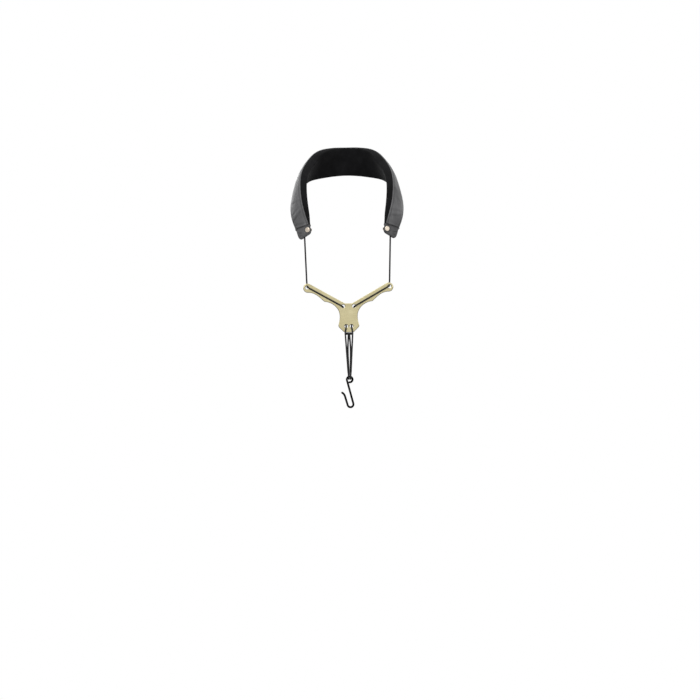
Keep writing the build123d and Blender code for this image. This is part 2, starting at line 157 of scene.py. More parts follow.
# ---- folded leather ends ----
TAB_HALF = END_WIDTH / 2
TAB_THICKNESS = 6.5 * MM
TAB_SEAM = 1.0 * MM
RIVET_ACROSS = TAB_HALF - 3.0 * MM
RIVET_DOWN = 7.6 * MM
RIVET_REACH = 4.1 * MM  # the leather lies flat this far from the rivet's middle
RIVET_EASE = 1.2 * MM  # and reaches its full shape this much further out
EXIT_ACROSS = TAB_HALF - 13.3 * MM
KNOT_DOWN = 11.5 * MM
KNOT_RADIUS = 3.4 * MM
TAB_OUTLINE = [  # across and down, in millimetres, from the seam round the lobe and the rivet's corner
    (-12.05, 0.1), (-11.9, 4.0), (-11.7, 8.0), (-11.3, 11.6), (-10.6, 14.6), (-9.2, 16.9), (-7.2, 17.9),
    (-4.9, 17.6), (-2.4, 16.8), (1.2, 16.0), (4.8, 15.2), (8.6, 14.2), (10.9, 12.6), (11.9, 10.0),
    (12.15, 7.4), (12.1, 3.8), (12.05, 0.1),
]
TAB_HEART = (0.4 * MM, 8.4 * MM)  # the middle of the folded end, across and down
# how far in from the outline to the middle each row of its points lies
TAB_SHARES = [0.0, 0.02, 0.06, 0.12, 0.2, 0.3, 0.42, 0.55, 0.68, 0.8, 0.9, 0.97]
OUTLINE_STEPS = 6  # from one corner of the outline to the next
FOLDS_START = -6.5 * MM  # across, where the folded end's two soft folds are deepest
FOLD_WIDTH = 0.8 * MM
SOFT_FOLDS = [  # depth, distance down, slant and reach across
    (0.6 * MM, 8.4 * MM, 0.3, 4.6 * MM),
    (0.5 * MM, 13.4 * MM, -0.2, 3.6 * MM),
]

# ---- stitches ----
STITCH_PITCH = 3.4 * MM
STITCH_LENGTH = 2.5 * MM
CROSS_PITCH = 2.6 * MM
CROSS_LENGTH = 1.9 * MM
CROSS_INSET = 1.8 * MM  # from the folded end's sides to its cross seam
CROSS_PARTS = 40  # of the line that the cross seam follows
THREAD_RADIUS = 0.3 * MM

# ---- plate ----
WELD = 0.02 * MM  # points nearer to one another than this become one
RIM_SHADE_WIDTH = 0.4 * MM  # of the line along the plate's edges and round its holes where shade is painted into the colour, darkest where they face down
RIM_SHADE_LEVEL = 0.45  # painted shade of an edge that faces sideways
RIM_SHADE_SLOPE = 1.6  # how fast the painted shade grows as an edge turns down, away from the lamps
RIM_SHADE_LEAST = 0.12  # painted shade of an edge that faces up
FACE_TILT = 0.99  # the Y of a normal is above this on the plate's two faces
WALL_TILT = 0.98  # and below this on its edges, chamfers and holes' walls
SHARP_ANGLE = 30  # degrees
MIX_A, MIX_B, MIX_RESULT = 6, 7, 2  # the colour sockets of a mix node

# ---- camera ----
VIEW_WIDTH = 1.05  # what the camera takes in from side to side, at the plate's distance
CAMERA_DISTANCE = 6.0
CAMERA_X = 0.00115
CAMERA_Z = -0.288
CAMERA_ROLL = 0.9  # degrees
SENSOR_WIDTH = 36.0

camera_data = bpy.data.cameras.new("camera")
camera_data.sensor_width = SENSOR_WIDTH
camera_data.lens = SENSOR_WIDTH * CAMERA_DISTANCE / VIEW_WIDTH
camera = bpy.data.objects.new("camera", camera_data)
camera.location = (CAMERA_X, PLATE_Y - CAMERA_DISTANCE, CAMERA_Z)
camera.rotation_euler = (math.radians(90), math.radians(CAMERA_ROLL), 0)
bpy.context.collection.objects.link(camera)
bpy.context.scene.camera = camera


# ---- shared helpers ----
CURVE_STEPS = 24  # of a cord's smooth curve, from one of its route's points to the next
TUBE_SIDES = 16
TUBE_STEP = 1.0 * MM
TUBE_END = 0.55  # size of a cord's end face, against its full radius


def link(name, mesh, material):
    """A new object for a mesh, with its material."""
    piece = bpy.data.objects.new(name, mesh)
    bpy.context.collection.objects.link(piece)
    mesh.materials.clear()
    mesh.materials.append(material)
    for face in mesh.polygons:
        face.use_smooth = True
    return piece


def spline_points(controls):
    """Points read from a smooth NURBS curve along a cord's route."""
    curve = bpy.data.curves.new("route", "CURVE")
    curve.dimensions = "3D"
    spline = curve.splines.new("NURBS")
    spline.points.add(len(controls) - 1)
    for point, control in zip(spline.points, controls):
        point.co = (*control, 1.0)
    spline.order_u = 3
    spline.use_endpoint_u = True
    spline.resolution_u = CURVE_STEPS
    route = bpy.data.objects.new("route", curve)
    mesh = bpy.data.meshes.new_from_object(route)
    points = [vertex.co.copy() for vertex in mesh.vertices]
    bpy.data.meshes.remove(mesh)
    bpy.data.objects.remove(route)
    bpy.data.curves.remove(curve)
    return points


def evenly(points, step):
    """A line's points again, about one step apart."""
    lengths = [0.0]
    for a, b in zip(points, points[1:]):
        lengths.append(lengths[-1] + (b - a).length)
    count = max(2, math.ceil(lengths[-1] / step) + 1)
    placed, at = [], 0
    for i in range(count):
        target = lengths[-1] * i / (count - 1)
        while at < len(points) - 2 and lengths[at + 1] < target:
            at += 1
        span = max(lengths[at + 1] - lengths[at], 1e-12)
        placed.append(points[at].lerp(points[at + 1], (target - lengths[at]) / span))
    return placed


def carried_frames(points):
    """Along, side and up directions that turn as little as they can down a line."""
    frames, side = [], None
    for i, point in enumerate(points):
        along = (points[min(i + 1, len(points) - 1)] - points[max(i - 1, 0)]).normalized()
        if side is None:
            side = along.orthogonal().normalized()
        side = (side - along * side.dot(along)).normalized()
        frames.append((along, side, along.cross(side)))
    return frames


def ring_quads(start, around):
    """The faces between one ring of points and the next."""
    faces = []
    for k in range(around):
        following = (k + 1) % around
        faces.append((start + k, start + following, start + around + following, start + around + k))
    return faces


def ring_uvs(around, low, high):
    """Those faces' UVs, from the places round the rings and the two rings' places along."""
    uvs = []
    for here, there in zip(around, around[1:]):
        uvs += [(here, low), (there, low), (there, high), (here, high)]
    return uvs


def uv_mesh(name, vertices, faces, uvs):
    """A new mesh with one UV for each corner of each face."""
    mesh = bpy.data.meshes.new(name)
    mesh.from_pydata([tuple(vertex) for vertex in vertices], [], faces)
    layer = mesh.uv_layers.new(name="UVMap")
    for loop, uv in zip(layer.data, uvs):
        loop.uv = uv
    mesh.validate()
    return mesh


def tube(name, points, radius, material, step=TUBE_STEP):
    """A closed round tube, whose UV runs once round and, in metres, along."""
    points = evenly(points, step)
    frames = carried_frames(points)
    vertices, faces, uvs = [], [], []
    rings = [(0.0, points[0], frames[0], TUBE_END)]
    run = 0.0
    for i, (point, directions) in enumerate(zip(points, frames)):
        run += (point - points[i - 1]).length if i else 0.0
        rings.append((run, point, directions, 1.0))
    rings.append((run, points[-1], frames[-1], TUBE_END))
    for _, point, (_, side, up), size in rings:
        for k in range(TUBE_SIDES):
            angle = 2 * math.pi * k / TUBE_SIDES
            offset = side * math.cos(angle) + up * math.sin(angle)
            vertices.append(point + offset * radius * size)
    around = [k / TUBE_SIDES for k in range(TUBE_SIDES + 1)]
    for i in range(len(rings) - 1):
        faces += ring_quads(i * TUBE_SIDES, TUBE_SIDES)
        uvs += ring_uvs(around, rings[i][0], rings[i + 1][0])
    last = (len(rings) - 1) * TUBE_SIDES
    faces.append(tuple(reversed(range(TUBE_SIDES))))
    uvs += [(here, 0.0) for here in reversed(around[:-1])]
    faces.append(tuple(range(last, last + TUBE_SIDES)))
    uvs += [(here, run) for here in around[:-1]]
    return link(name, uv_mesh(name, vertices, faces, uvs), material)


def closed_loft(name, rings, material):
    """A closed solid through rings of points, with flat ends and a UV in metres."""
    count = len(rings[0])
    vertices = [point for ring in rings for point in ring]
    faces, uvs = [], []
    around = [0.0]
    for k in range(count):
        around.append(around[-1] + (rings[0][(k + 1) % count] - rings[0][k]).length)
    along = [0.0]
    for a, b in zip(rings, rings[1:]):
        along.append(along[-1] + (b[0] - a[0]).length)
    for i in range(len(rings) - 1):
        faces += ring_quads(i * count, count)
        uvs += ring_uvs(around, along[i], along[i + 1])
    last = (len(rings) - 1) * count
    faces.append(tuple(reversed(range(count))))
    faces.append(tuple(range(last, last + count)))
    uvs += [(0.0, 0.0)] * (2 * count)
    mesh = uv_mesh(name, vertices, faces, uvs)
    recalculate(mesh)
    return link(name, mesh, material)


def recalculate(mesh):
    """Turns a closed mesh's faces outwards."""
    shape = bmesh.new()
    shape.from_mesh(mesh)
    bmesh.ops.recalc_face_normals(shape, faces=shape.faces)
    shape.to_mesh(mesh)
    shape.free()


def mark_fold_shade(piece, values):
    """Stores at each point how much shade is painted into the leather's finish, deepest in its folds;
    negative values are painted highlight.
    """
    layer = piece.data.attributes.new("fold_shade", "FLOAT", "POINT")
    layer.data.foreach_set("value", values)


def bell(distance, width):
    """1 in the middle, falling smoothly to 0 on both sides."""
    return math.exp(-((distance / width) ** 2))


# ---- materials ----
class Finish:
    """A material under construction: its nodes and its principled shader."""

    def __init__(self, name, colour, roughness, metallic=0.0):
        self.material = bpy.data.materials.new(name)
        self.material.use_nodes = True
        self.material.diffuse_color = (*colour, 1.0)
        self.tree = self.material.node_tree
        self.shader = self.tree.nodes["Principled BSDF"]
        self.level("Base Color", (*colour, 1.0))
        self.level("Roughness", roughness)
        self.level("Metallic", metallic)
        self.coordinates = self.add("ShaderNodeTexCoord")

    def add(self, kind, **values):
        """A new node, with some of its settings and of its sockets' values."""
        node = self.tree.nodes.new(kind)
        for name, value in values.items():
            if hasattr(node, name):
                setattr(node, name, value)
            else:
                node.inputs[name.replace("_", " ")].default_value = value
        return node

    def join(self, source, target):
        self.tree.links.new(source, target)

    def math(self, operation, first, second=None, third=None):
        node = self.add("ShaderNodeMath", operation=operation)
        for socket, value in zip(node.inputs, (first, second, third)):
            if value is None:
                continue
            if isinstance(value, (int, float)):
                socket.default_value = value
            else:
                self.join(value, socket)
        return node.outputs[0]

    def noise(self, scale, detail=4.0, roughness=0.55, stretch=None):
        node = self.add("ShaderNodeTexNoise", Scale=scale, Detail=detail, Roughness=roughness)
        source = self.coordinates.outputs["Object"]
        if stretch:
            mapping = self.add("ShaderNodeMapping", Scale=stretch)
            self.join(source, mapping.inputs["Vector"])
            source = mapping.outputs["Vector"]
        self.join(source, node.inputs["Vector"])
        return node.outputs["Fac"]

    def cells(self, scale):
        node = self.add("ShaderNodeTexVoronoi", feature="SMOOTH_F1", Scale=scale)
        self.join(self.coordinates.outputs["Object"], node.inputs["Vector"])
        return node.outputs["Distance"]

    def ramp(self, source, stops):
        node = self.add("ShaderNodeValToRGB")
        while len(node.color_ramp.elements) < len(stops):
            node.color_ramp.elements.new(0.5)
        for element, (position, colour) in zip(node.color_ramp.elements, stops):
            element.position = position
            element.color = (*colour, 1.0)
        self.join(source, node.inputs["Fac"])
        return node.outputs["Color"]

    def range(self, source, low, high, from_low=0.0, from_high=1.0):
        node = self.add("ShaderNodeMapRange", From_Min=from_low, From_Max=from_high, To_Min=low, To_Max=high)
        self.join(source, node.inputs["Value"])
        return node.outputs["Result"]

    def bump(self, height, strength, distance, after=None):
        node = self.add("ShaderNodeBump", Strength=strength, Distance=distance)
        self.join(height, node.inputs["Height"])
        if after:
            self.join(after, node.inputs["Normal"])
        return node.outputs["Normal"]

    def set(self, socket, source):
        self.join(source, self.shader.inputs[socket])

    def level(self, socket, value):
        self.shader.inputs[socket].default_value = value


def leather_finish(name, depth):
    """Dark grey grain leather: fine pebbled grain, rubbed paler in soft streaks, with shade painted into its
    folds and highlight onto their ridges.
    """
    finish = Finish(name, (0.1 * depth, 0.1 * depth, 0.103 * depth), 0.52)
    pebbles = finish.cells(900.0)
    pores = finish.noise(3200.0, 3.0)
    broad = finish.noise(34.0, 5.0, 0.62)
    streaks = finish.noise(150.0, 4.0, 0.6, stretch=(1.0, 1.0, 0.22))
    fold_shade = finish.add("ShaderNodeAttribute", attribute_name="fold_shade").outputs["Fac"]
    tone = finish.math("MULTIPLY_ADD", streaks, 0.45, finish.math("MULTIPLY", broad, 0.6))
    tone = finish.math("MULTIPLY_ADD", pebbles, 0.06, tone)
    # painted shade where the points' shade mark is high (folds, seams, the tucked-under edge), painted
    # highlight where it is negative (ridges above creases)
    tone = finish.math("MULTIPLY_ADD", fold_shade, -0.2, tone)
    stops = []
    for place_at, grey in ((0.24, 0.03), (0.38, 0.06), (0.54, 0.091), (0.72, 0.14)):
        stops.append((place_at, (grey * depth, grey * depth, 1.03 * grey * depth)))
    finish.set("Base Color", finish.ramp(tone, stops))
    finish.set("Roughness", finish.range(tone, 0.6, 0.42, 0.36, 0.72))
    grain = finish.bump(pebbles, 0.35, 0.00035)
    finish.set("Normal", finish.bump(pores, 0.25, 0.00012, grain))
    finish.level("Sheen Weight", 0.04)
    finish.level("Sheen Roughness", 0.4)
    finish.level("Specular IOR Level", 0.35)
    return finish.material


def lining_finish():
    """Black brushed lining with a short nap."""
    finish = Finish("black_napped_lining", (0.008, 0.008, 0.0085), 0.95)
    nap = finish.noise(2600.0, 4.0, 0.7, stretch=(1.0, 0.45, 1.0))
    patches = finish.noise(70.0, 4.0)
    stops = [(0.3, (0.003, 0.003, 0.0033)), (0.72, (0.009, 0.009, 0.0097))]
    finish.set("Base Color", finish.ramp(patches, stops))
    finish.set("Roughness", finish.range(nap, 0.86, 1.0))
    finish.set("Normal", finish.bump(nap, 0.5, 0.0003))
    finish.level("Sheen Weight", 0.03)
    finish.level("Sheen Roughness", 0.5)
    finish.level("Specular IOR Level", 0.08)
    return finish.material


def braid_finish():
    """Black round braid: two sets of strands that cross, each over and under the other."""
    finish = Finish("black_braided_cord", (0.024, 0.024, 0.0245), 0.6)
    split = finish.add("ShaderNodeSeparateXYZ")
    finish.join(finish.coordinates.outputs["UV"], split.inputs[0])
    around = finish.math("MULTIPLY", split.outputs["X"], 2 * math.pi * BRAID_STRANDS)
    along = finish.math("MULTIPLY", split.outputs["Y"], 2 * math.pi / BRAID_PITCH)
    right = finish.math("SINE", finish.math("ADD", around, along))
    left = finish.math("SINE", finish.math("SUBTRACT", around, along))
    weave = finish.math("MAXIMUM", right, left)
    fibre = finish.noise(5200.0, 2.0)
    height = finish.math("MULTIPLY_ADD", fibre, 0.35, weave)
    # painted shade and highlight: the colour follows the strands' height, darker where they dip between one
    # another and paler on their crests
    stops = [(0.2, (0.018, 0.018, 0.018)), (0.9, (0.042, 0.042, 0.043))]
    finish.set("Base Color", finish.ramp(finish.range(weave, 0.0, 1.0, -1.0, 1.0), stops))
    finish.set("Normal", finish.bump(height, 0.4, 0.0001))
    finish.set("Roughness", finish.range(fibre, 0.7, 0.9))
    finish.level("Specular IOR Level", 0.03)
    return finish.material


def thread_finish():
    """Waxed seam thread with its twist."""
    finish = Finish("dark_seam_thread", (0.046, 0.046, 0.048), 0.5)
    twist = finish.noise(4200.0, 2.0, stretch=(1.0, 1.0, 3.0))
    stops = [(0.35, (0.034, 0.034, 0.036)), (0.7, (0.062, 0.062, 0.065))]
    finish.set("Base Color", finish.ramp(twist, stops))
    finish.set("Normal", finish.bump(twist, 0.5, 0.00015))
    finish.set("Roughness", finish.range(twist, 0.4, 0.6))
    return finish.material


def plate_finish():
    """Pale gold lacquer over fine satin brushing, with shade painted dark brown onto its edges where they
    face down.
    """
    finish = Finish("pale_gold_satin", (0.49, 0.437, 0.257), 0.34, 1.0)
    brushing = finish.noise(520.0, 3.0, 0.6, stretch=(0.12, 1.0, 3.5))
    patches = finish.noise(30.0, 4.0, 0.6)
    tone = finish.math("MULTIPLY_ADD", brushing, 0.1, finish.math("MULTIPLY", patches, 0.9))
    stops = [(0.34, (0.435, 0.38, 0.212)), (0.52, (0.49, 0.437, 0.257)), (0.68, (0.545, 0.492, 0.302))]
    lacquer = finish.ramp(tone, stops)
    # painted shade: the mark on the plate's edges mixes the lacquer towards dark brown
    rim_shade = finish.add("ShaderNodeAttribute", attribute_name="rim_shade").outputs["Fac"]
    mix = finish.add("ShaderNodeMix", data_type="RGBA")
    finish.join(finish.range(rim_shade, 0.0, 1.0, 0.14, 0.45), mix.inputs["Factor"])
    finish.join(lacquer, mix.inputs[MIX_A])
    # the painted shade's colour, for edges that face down
    mix.inputs[MIX_B].default_value = (0.03, 0.022, 0.012, 1.0)
    finish.set("Base Color", mix.outputs[MIX_RESULT])
    finish.set("Roughness", finish.range(brushing, 0.28, 0.44, 0.3, 0.7))
    finish.set("Normal", finish.bump(brushing, 0.08, 0.00008))
    return finish.material


def rivet_finish():
    """Polished rose brass with fine turning marks and a few rubs."""
    finish = Finish("polished_rose_brass", (0.56, 0.5, 0.42), 0.3, 1.0)
    rubs = finish.noise(900.0, 3.0)
    finish.set("Base Color", finish.ramp(rubs, [(0.3, (0.44, 0.37, 0.29)), (0.65, (0.6, 0.545, 0.465))]))
    finish.set("Roughness", finish.range(rubs, 0.16, 0.34, 0.3, 0.7))
    finish.set("Normal", finish.bump(rubs, 0.06, 0.00006))
    return finish.material


def coating_finish():
    """Black dipped coating: smooth, softly uneven, a little worn to satin."""
    finish = Finish("black_dipped_coating", (0.004, 0.004, 0.0042), 0.36)
    flow = finish.noise(420.0, 3.0)
    stops = [(0.3, (0.0015, 0.0015, 0.0015)), (0.7, (0.0035, 0.0035, 0.0038))]
    finish.set("Base Color", finish.ramp(flow, stops))
    finish.set("Roughness", finish.range(flow, 0.4, 0.56, 0.3, 0.7))
    finish.set("Normal", finish.bump(flow, 0.12, 0.00018))
    finish.level("Specular IOR Level", 0.03)
    return finish.material


def steel_finish():
    """Drawn steel wire."""
    finish = Finish("drawn_steel", (0.56, 0.56, 0.57), 0.32, 1.0)
    lines = finish.noise(900.0, 3.0, stretch=(1.0, 1.0, 0.1))
    finish.set("Base Color", finish.ramp(lines, [(0.3, (0.46, 0.46, 0.47)), (0.7, (0.62, 0.62, 0.63))]))
    finish.set("Roughness", finish.range(lines, 0.25, 0.42))
    finish.set("Normal", finish.bump(lines, 0.1, 0.00005))
    return finish.material


leather = leather_finish("dark_grey_leather", 1.08)
end_leather = leather_finish("folded_end_leather", 0.88)
lining = lining_finish()
braid = braid_finish()
thread = thread_finish()
gold = plate_finish()
brass = rivet_finish()
coating = coating_finish()
steel = steel_finish()

NODE_FINISHES = {"hook_wire": steel, "hook_coating": coating}  # the solids that show as they are
for side in SIDES:
    NODE_FINISHES[f"{side}_rivet_cap"] = brass
    NODE_FINISHES[f"{side}_rivet_post"] = brass
    NODE_FINISHES[f"{side}_cord_knot"] = braid
for node, material in NODE_FINISHES.items():
    solid = bpy.data.objects[node]
    for slot in solid.material_slots:
        slot.material = material


# ---- plate ----
def painted_rim_shade(vertex):
    """Painted shade for one point: 1 where an edge or a hole's wall faces down, away from the lamps, the
    smallest shade where it faces up, 0 on the faces.
    """
    walls = [face.normal for face in vertex.link_faces if abs(face.normal.y) < WALL_TILT]
    if not walls:
        return 0.0
    upward = sum(normal.z for normal in walls) / len(walls)
    return max(RIM_SHADE_LEAST, min(1.0, RIM_SHADE_LEVEL - RIM_SHADE_SLOPE * upward))


def plate():
    """The yoke plate, with a narrow rim along its outline and round its holes that carries painted shade."""
    mesh = bpy.data.objects["yoke_plate"].data.copy()
    build = bmesh.new()
    build.from_mesh(mesh)
    bmesh.ops.remove_doubles(build, verts=build.verts, dist=WELD)
    for facing in (1, -1):
        flat = [face for face in build.faces if facing * face.normal.y > FACE_TILT]
        bmesh.ops.inset_region(
            build, faces=flat, thickness=RIM_SHADE_WIDTH, use_boundary=True, use_even_offset=False
        )
    layer = build.verts.layers.float.new("rim_shade")
    build.normal_update()
    # painted shade for each point, darkest on the edges that face down
    for vertex in build.verts:
        vertex[layer] = painted_rim_shade(vertex)
    build.to_mesh(mesh)
    build.free()
    piece = link("pale_gold_plate", mesh, gold)
    mesh.set_sharp_from_angle(angle=math.radians(SHARP_ANGLE))
    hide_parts("yoke_plate")
    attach(piece, "yoke")


plate()


# ---- cords ----
def mirrored(side, route):
    """A route's points on one side of the strap."""
    return [Vector((SIDES[side] * x, y, z)) for x, y, z in route]


def upper_cord(side):
    """From the folded end down to just above the plate's tip."""
    route = [
        (EXIT_X - 0.12 * MM, BACK_Y, CORD_EXIT_Z + 3.2 * MM),
        (TIP_X + TIP_LEAN, BACK_Y, TIP_Z + 9 * MM),
    ]
    piece = tube(f"{side}_braided_upper_cord", mirrored(side, route), CORD_RADIUS, braid)
    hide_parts(f"{side}_upper_cord")
    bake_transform(piece)


def arm_cord(side):
    """Through the tip hole, along the arm, behind the body and out of the lower hole."""
    tip_x, tip_z = TIP_X - 0.5 * MM, TIP_Z + 0.6 * MM
    upper_x, upper_z = 8.55 * MM, TIP_Z - 29.2 * MM
    lower_x, lower_z = 3.9 * MM, TIP_Z - 59.6 * MM
    arm_x, arm_z = 4.15 * MM, 2.3 * MM  # a step along the arm
    back_x, back_z = 0.68 * MM, 4.65 * MM  # a step down behind the body
    route = [
        (TIP_X + TIP_LEAN, BACK_Y, TIP_Z + 9.3 * MM),
        (TIP_X, BACK_Y, TIP_Z + 5 * MM),
        (tip_x, BACK_Y, tip_z),
        (tip_x, FRONT_Y, tip_z),
        (tip_x - arm_x, FRONT_Y, tip_z - arm_z),
        (upper_x + arm_x, FRONT_Y, upper_z + arm_z),
        (upper_x, FRONT_Y, upper_z),
        (upper_x, BACK_Y, upper_z),
        (upper_x - back_x, BACK_Y, upper_z - back_z),
        (lower_x + back_x, BACK_Y, lower_z + back_z),
        (lower_x, BACK_Y, lower_z),
        (lower_x, FRONT_Y, lower_z),
        (lower_x + 0.9 * MM, FRONT_Y, lower_z - 4.2 * MM),
        (STRAND_TOP_X, FRONT_Y, PLATE_BOTTOM - 0.4 * MM),
    ]
    points = spline_points(mirrored(side, route))
    piece = tube(f"{side}_braided_arm_cord", points, CORD_RADIUS, braid, step=0.5 * MM)
    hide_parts(f"{side}_arm_cord")
    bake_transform(piece)


def hitch():
    """The cord's binding turns under the plate, one above the other."""
    front, back = PLATE_Y - HITCH_DEPTH, PLATE_Y + HITCH_DEPTH
    past_end = HITCH_HALF + 0.6 * MM
    for index, height in enumerate(HITCH_TURNS):
        z = HITCH_Z + height
        route = [
            (0, front, z),
            (-HITCH_HALF, front, z + 0.1 * MM),
            (-past_end, PLATE_Y, z),
            (-HITCH_HALF, back, z - 0.1 * MM),
            (HITCH_HALF, back, z),
            (past_end, PLATE_Y, z),
            (HITCH_HALF, front, z + 0.1 * MM),
            (0, front, z),
        ]
        piece = tube(f"hitch_turn_{index}", spline_points(route), HITCH_TURN_RADIUS, braid, step=0.4 * MM)
        if index == 0:
            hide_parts("cord_hitch")
        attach(piece, "hitch")


def strand(side, label, route):
    """One strand between the plate and the hook's eye."""
    points = mirrored(side, route)
    if len(points) > 2:
        points = spline_points(points)
    piece = tube(f"{side}_braided_{label}", points, CORD_RADIUS, braid)
    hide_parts(f"{side}_{label}")
    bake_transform(piece)


def bight(side):
    """The turn round the wire of the hook's eye."""
    low = WIRE_TOP_Z - BIGHT_RADIUS
    route = [
        (OUTER_LOWER_X, PLATE_Y - BIGHT_RADIUS, BIGHT_TOP_Z + 0.4 * MM),
        (OUTER_LOWER_X - 0.4 * MM, PLATE_Y - BIGHT_RADIUS, WIRE_TOP_Z + 3.5 * MM),
        (PAIR_X, PLATE_Y - BIGHT_RADIUS, low),
        (PAIR_X, PLATE_Y + BIGHT_RADIUS, low),
        (PAIR_X, PLATE_Y + BIGHT_RADIUS, WIRE_TOP_Z + 2.5 * MM),
        (PAIR_X, PLATE_Y + BIGHT_RADIUS, BIGHT_TOP_Z + 0.4 * MM),
    ]
    points = spline_points(mirrored(side, route))
    piece = tube(f"{side}_braided_bight", points, CORD_RADIUS, braid, step=0.5 * MM)
    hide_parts(f"{side}_cord_bight")
    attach(piece, "bights")


for side in SIDES:
    upper_cord(side)
    arm_cord(side)
    bight(side)
    strand(
        side,
        "outer_strand",
        [
            (STRAND_TOP_X, FRONT_Y, PLATE_BOTTOM - 0.3 * MM),
            (OUTER_LOWER_X, PLATE_Y - BIGHT_RADIUS, BIGHT_TOP_Z),
        ],
    )
    at_hitch = PLATE_Y + 0.5 * MM - SIDES[side] * 0.95 * MM  # the right one starts in front
    strand(
        side,
        "inner_strand",
        [
            (0.8 * MM, at_hitch, HITCH_Z - 1.2 * MM),
            (1.7 * MM, PLATE_Y + 1.4 * MM, HITCH_Z - 14 * MM),
            (2.1 * MM, PLATE_Y + 2.2 * MM, HITCH_Z - 28 * MM),
            (1.6 * MM, PLATE_Y + 3.1 * MM, HITCH_Z - 43 * MM),
            (PAIR_X, PLATE_Y + BIGHT_RADIUS, BIGHT_TOP_Z + 4 * MM),
            (PAIR_X, PLATE_Y + BIGHT_RADIUS, BIGHT_TOP_Z),
        ],
    )
hitch()


# ---- band ----
class Section:
    """One cross-section of the band: its middle, its frame and its size in metres."""

    def __init__(self, middle, travel, outward, width, thickness):
        self.middle = middle
        self.travel = travel.normalized()
        self.outward = (outward - self.travel * outward.dot(self.travel)).normalized()
        self.across = self.outward.cross(self.travel)
        self.width = width
        self.thickness = thickness

    def point(self, across, outward):
        return self.middle + self.across * across + self.outward * outward


def left_station(span, reach, drop, travel, outward, width, thinning):
    """One of the left half's stations: middle, travel, outward, width and thickness."""
    nape = NAPE_THICKNESS / 2
    middle = Vector((-span * BAND_HALF_SPAN, nape - reach * (BAND_REACH + nape), -drop * BAND_DROP))
    thickness = NAPE_THICKNESS + thinning * (END_THICKNESS - NAPE_THICKNESS)
    return middle, Vector(travel).normalized(), Vector(outward), width, thickness


def whole_band():
    """The stations from the right end over the nape to the left end."""
    left = [left_station(*row) for row in BAND_STATIONS]
    right = []
    for middle, travel, outward, width, thickness in reversed(left[1:]):
        middle = Vector((-middle.x, middle.y, middle.z))
        travel = Vector((travel.x, -travel.y, -travel.z))
        outward = Vector((-outward.x, outward.y, outward.z))
        right.append((middle, travel, outward, width, thickness))
    return right + left


def second_slopes(places, values):
    """The natural cubic spline's second derivatives at its stations."""
    count = len(places)
    upper, right = [0.0] * count, [values[0] * 0.0 for _ in range(count)]
    for i in range(1, count - 1):
        before, after = places[i] - places[i - 1], places[i + 1] - places[i]
        change = (values[i + 1] - values[i]) / after - (values[i] - values[i - 1]) / before
        share = before / (before + after)
        pivot = share * upper[i - 1] + 2.0
        upper[i] = (share - 1.0) / pivot
        right[i] = (change * (6.0 / (before + after)) - right[i - 1] * share) / pivot
    slopes = [values[0] * 0.0 for _ in range(count)]
    for i in range(count - 2, -1, -1):
        slopes[i] = slopes[i + 1] * upper[i] + right[i]
    return slopes


def along_spline(places, values, slopes, at):
    """The value of a natural cubic spline at one place."""
    i = max(k for k in range(len(places) - 1) if places[k] <= at or k == 0)
    span = places[i + 1] - places[i]
    after = (at - places[i]) / span
    before = 1.0 - after
    bend = slopes[i] * (before**3 - before) + slopes[i + 1] * (after**3 - after)
    return values[i] * before + values[i + 1] * after + bend * (span * span / 6.0)


def band_sections(step):
    """Evenly spaced sections of the whole band, smooth from end to end."""
    rows = whole_band()
    places = [0.0]
    for a, b in zip(rows, rows[1:]):
        places.append(places[-1] + (b[0] - a[0]).length)
    tracks = [[row[k] for row in rows] for k in range(5)]
    slopes = [second_slopes(places, track) for track in tracks]
    count = math.ceil(places[-1] / step)
    sections = []
    for i in range(count + 1):
        at = places[-1] * i / count
        middle, travel, outward, width, thickness = [
            along_spline(places, track, slope, at) for track, slope in zip(tracks, slopes)
        ]
        sections.append(Section(middle, travel, outward, width, thickness))
    return sections


def from_end(index, count):
    """How far a section lies from the nearer end of the band."""
    return min(index, count - 1 - index) * SECTION_STEP


def drawn_in(index, count):
    """1 where the padding is drawn in to meet the folded end, 0 a little way up the band."""
    return bell(from_end(index, count), END_PULL_REACH)


def crease_depth(across, index, count):
    """The leather's soft folds, deepest a little above the folded end."""
    distance = from_end(index, count)
    hand = 1.0 if index < count / 2 else -1.0
    strength = FAINT_SIDE if hand > 0 else 1.0
    wander = noise.noise(Vector((across * 70.0, hand * 3.0, distance * 20.0))) * 2.5 * MM
    folds = 0.0
    for above, depth, slant in CREASES:
        line = distance - above - wander - slant * hand * across
        nearness = bell(across - hand * CREASE_MIDDLE, CREASE_REACH)
        fading = strength * (CREASE_FLOOR + 0.65 * nearness)
        folds -= depth * fading * bell(line, CREASE_WIDTH)
        folds += RIDGE_SHARE * depth * fading * bell(line - RIDGE_ABOVE, RIDGE_WIDTH)
    return folds


def leather_height(section, across, index, count):
    """How high the leather stands over the section's middle, at one place across it."""
    half = section.width / 2
    share = min(1.0, abs(across) / half)
    crown = CROWN * (1 - share**2)
    rolled = -ROLL_DEPTH * max(0.0, (share - ROLL_START) / ROLL_SPAN) ** 2
    to_seam = half - SEAM_INSET - abs(across)
    groove = -GROOVE_DEPTH * bell(to_seam, GROOVE_WIDTH)
    pucker = PUCKER_DEPTH * math.sin(index * PUCKER_TURN) * bell(to_seam - PUCKER_WIDTH, PUCKER_WIDTH)
    broad = noise.noise(Vector((across * 55.0, index * 0.05, 3.1))) * LEATHER_WAVE
    depth = (crease_depth(across, index, count) + broad) * (1 - share**6)
    padded = section.thickness / 2 + crown
    seated = TAB_THICKNESS / 2 + END_CROWN * (1 - share**2) + END_STEP
    pull = END_PULL * drawn_in(index, count)
    return padded + (seated - padded) * pull + rolled + groove + pucker + depth


